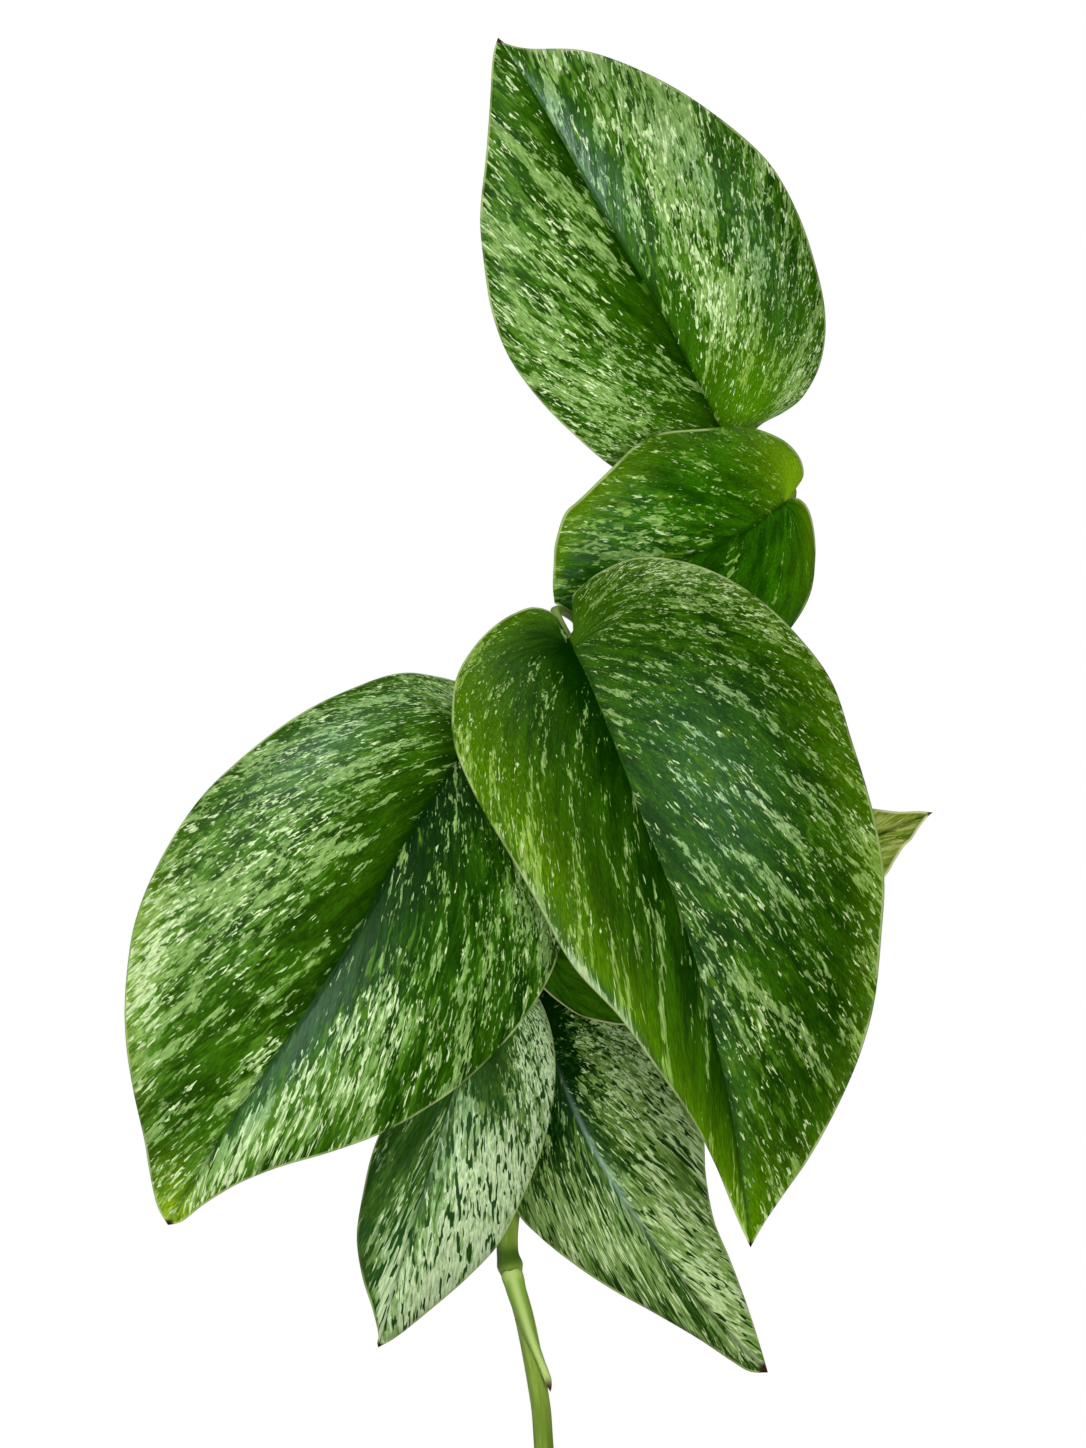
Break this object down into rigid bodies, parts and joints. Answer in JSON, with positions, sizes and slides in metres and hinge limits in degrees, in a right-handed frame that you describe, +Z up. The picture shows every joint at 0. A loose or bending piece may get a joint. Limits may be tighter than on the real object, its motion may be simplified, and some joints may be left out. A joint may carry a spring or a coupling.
{
  "type": "potted moonlight scindapsus",
  "caption": "Climbing house plant with heart-shaped, cream-flecked green leaves on long stalks along one stem, rooted in soil in a plain tapered clay pot that stands on a flat foot.",
  "frame": {"origin": "middle of the flat foot of the pot, on the surface it stands on", "axes": "+Z up along the pot's axis, -Y towards the side that the leaf faces look at, +X to the right when seen from that side"},
  "size_m": [0.161, 0.1255, 0.3988],
  "materials": {
    "fired_clay": "unglazed fired clay, fine matte grain",
    "potting_soil": "moist crumbly potting mix",
    "stem_green": "smooth living stem, satin",
    "sheath_pale": "thin papery sheath with a dry brown tip",
    "leaf_flecked": "green leaf with dense cream flecks along its veins, satin",
    "leaf_fresh": "young bright green leaf with fine pale dashes, satin",
    "leaf_dark": "deep green leaf with pale streaks along its veins, satin",
    "leaf_silvered": "pale silvery green leaf with dark specks, satin"
  },
  "bodies": {
    "root": {"pot": "fired_clay", "soil": "potting_soil", "stem": "stem_green", "sheath": "sheath_pale", "leaf_top": "leaf_flecked", "leaf_young": "leaf_fresh", "leaf_front": "leaf_dark", "leaf_left": "leaf_flecked", "leaf_hanging": "leaf_silvered", "leaf_low": "leaf_silvered", "leaf_back": "leaf_dark"}
  },
  "joints": []
}
